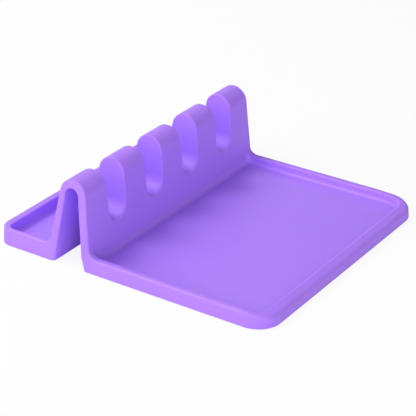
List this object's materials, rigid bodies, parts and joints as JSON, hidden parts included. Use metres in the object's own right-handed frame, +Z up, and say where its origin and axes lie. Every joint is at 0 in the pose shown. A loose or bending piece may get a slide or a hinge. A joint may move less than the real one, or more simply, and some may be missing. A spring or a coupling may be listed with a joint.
{
  "type": "spoon rest",
  "caption": "One-piece soft silicone rest: a hollow slotted ridge holds utensil handles upright between a large drip tray and a narrow rear tray.",
  "frame": {"origin": "on the flat base, in the middle of the outline", "axes": "+X along the ridge, +Y from the drip tray to the rear tray, +Z up"},
  "size_m": [0.1652, 0.1798, 0.0521],
  "materials": {
    "silicone": "satin"
  },
  "bodies": {
    "root": {"drip_tray": "silicone", "front_wall": "silicone", "finger_1": "silicone", "finger_2": "silicone", "finger_3": "silicone", "finger_4": "silicone", "finger_5": "silicone", "saddle_1": "silicone", "saddle_2": "silicone", "saddle_3": "silicone", "saddle_4": "silicone", "rear_wall": "silicone", "rear_tray": "silicone"}
  },
  "joints": []
}
